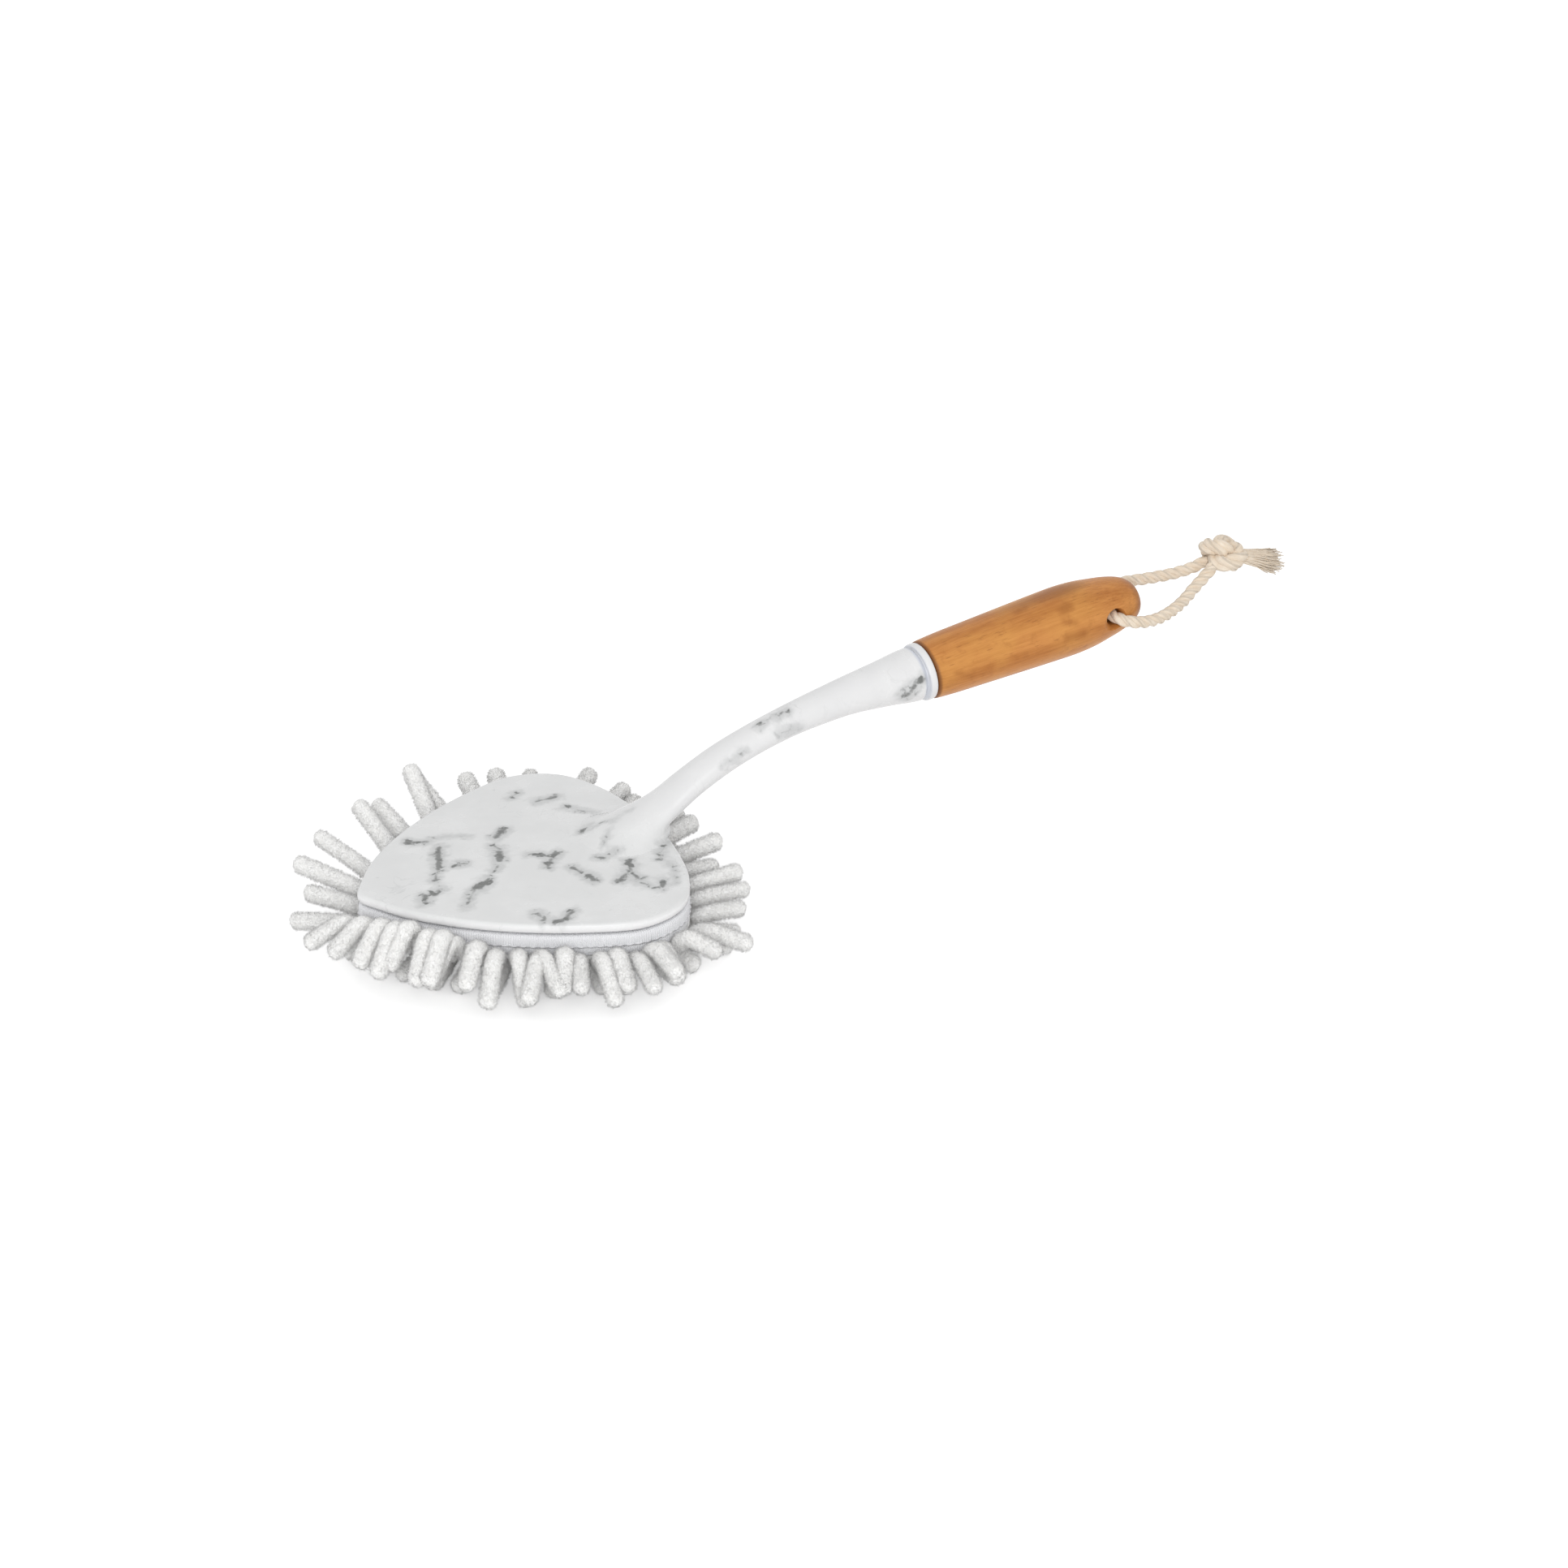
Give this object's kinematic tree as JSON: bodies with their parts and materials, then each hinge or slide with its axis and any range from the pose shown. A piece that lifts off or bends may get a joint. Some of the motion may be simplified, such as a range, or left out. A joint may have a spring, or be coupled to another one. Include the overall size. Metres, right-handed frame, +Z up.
{
  "type": "hand duster",
  "caption": "Hand duster: triangular marble-print head with a curved neck, bamboo grip and rope loop, over a removable chenille noodle pad.",
  "frame": {"origin": "middle of the footprint of the duster without its rope, on the surface that the noodles stand on", "axes": "+X from the tip of the head towards the end of the grip, +Z up, +Y to the left when looking along +X"},
  "size_m": [0.4204, 0.1782, 0.0971],
  "materials": {
    "marble_print_plastic": "glossy, with a printed marble pattern",
    "varnished_bamboo": "satin varnish",
    "white_chenille": "thick soft pile",
    "white_cloth": "woven",
    "white_foam": "open-cell foam",
    "pale_band": "folded knit band",
    "white_hook_tape": "hook tape",
    "cream_cotton": "twisted rope"
  },
  "bodies": {
    "pad": {"pad_loop_cloth": "white_cloth", "pad_foam_core": "white_foam", "pad_base_cloth": "white_cloth", "pad_edge_band": "pale_band", "noodle_fringe": "white_chenille", "noodle_skirt": "white_chenille", "noodle_row_01": "white_chenille", "noodle_row_02": "white_chenille", "noodle_row_03": "white_chenille", "noodle_row_04": "white_chenille", "noodle_row_05": "white_chenille", "noodle_row_06": "white_chenille", "noodle_row_07": "white_chenille", "noodle_row_08": "white_chenille"},
    "head": {"head_shell": "marble_print_plastic", "hook_tape_left": "white_hook_tape", "hook_tape_centre": "white_hook_tape", "hook_tape_right": "white_hook_tape", "bamboo_handle": "varnished_bamboo"},
    "hang_loop": {"rope_loop": "cream_cotton", "rope_knot": "cream_cotton", "rope_frayed_end": "cream_cotton"}
  },
  "joints": [
    {"name": "pad_release", "type": "slide", "parent": "pad", "child": "head", "axis": [0, 0, 1], "range_m": [0, 0.05]},
    {"name": "hang_loop_swing", "type": "hinge", "parent": "head", "child": "hang_loop", "pos_m": [0.15971, -0.00013, 0.07818], "axis": [0, 1, 0], "range_deg": [-100, 75]}
  ]
}
